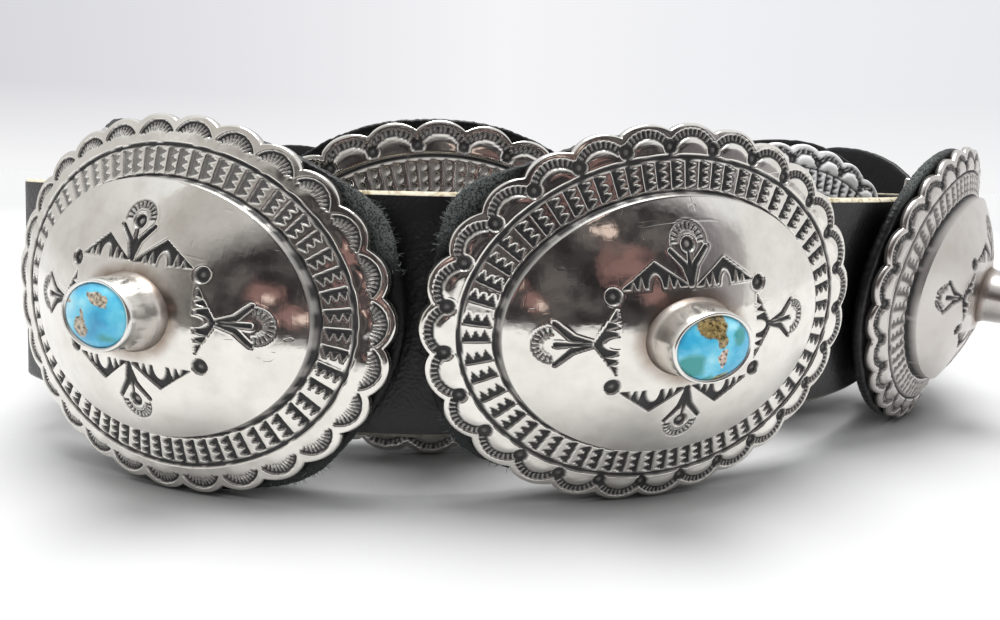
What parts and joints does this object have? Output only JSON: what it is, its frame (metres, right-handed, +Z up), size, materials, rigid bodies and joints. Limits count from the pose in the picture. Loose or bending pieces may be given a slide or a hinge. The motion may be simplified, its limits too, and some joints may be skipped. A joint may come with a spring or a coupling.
{
  "type": "concho belt",
  "caption": "Leather strap standing in an overlapping coil, carrying domed silver ovals with scalloped stamped edges, each with a tall bezel that holds a turquoise.",
  "frame": {"origin": "middle of the belt's outline seen from above, on the surface it stands on", "axes": "+Z up; the front of the picture faces -Y and its right is +X; the strap starts at the front left and coils to the right"},
  "size_m": [0.28, 0.2808, 0.0694],
  "materials": {
    "silver": "polished sterling silver with dark oxidised stampwork",
    "turquoise": "polished, with brown matrix",
    "black_leather": "smooth face, rough cut edges"
  },
  "bodies": {
    "root": {"strap": "black_leather", "clasp_hook": "silver", "plaque_01": "silver", "plaque_02": "silver", "plaque_03": "silver", "plaque_04": "silver", "plaque_05": "silver", "plaque_06": "silver", "plaque_07": "silver", "plaque_08": "silver", "plaque_09": "silver", "plaque_10": "silver", "plaque_11": "silver", "stone_01": "turquoise", "stone_02": "turquoise", "stone_03": "turquoise", "stone_04": "turquoise", "stone_05": "turquoise", "stone_06": "turquoise", "stone_07": "turquoise", "stone_08": "turquoise", "stone_09": "turquoise", "stone_10": "turquoise", "stone_11": "turquoise", "backing_01": "black_leather", "backing_02": "black_leather", "backing_03": "black_leather", "backing_04": "black_leather", "backing_05": "black_leather", "backing_06": "black_leather", "backing_07": "black_leather", "backing_08": "black_leather", "backing_09": "black_leather", "backing_10": "black_leather", "backing_11": "black_leather"}
  },
  "joints": []
}
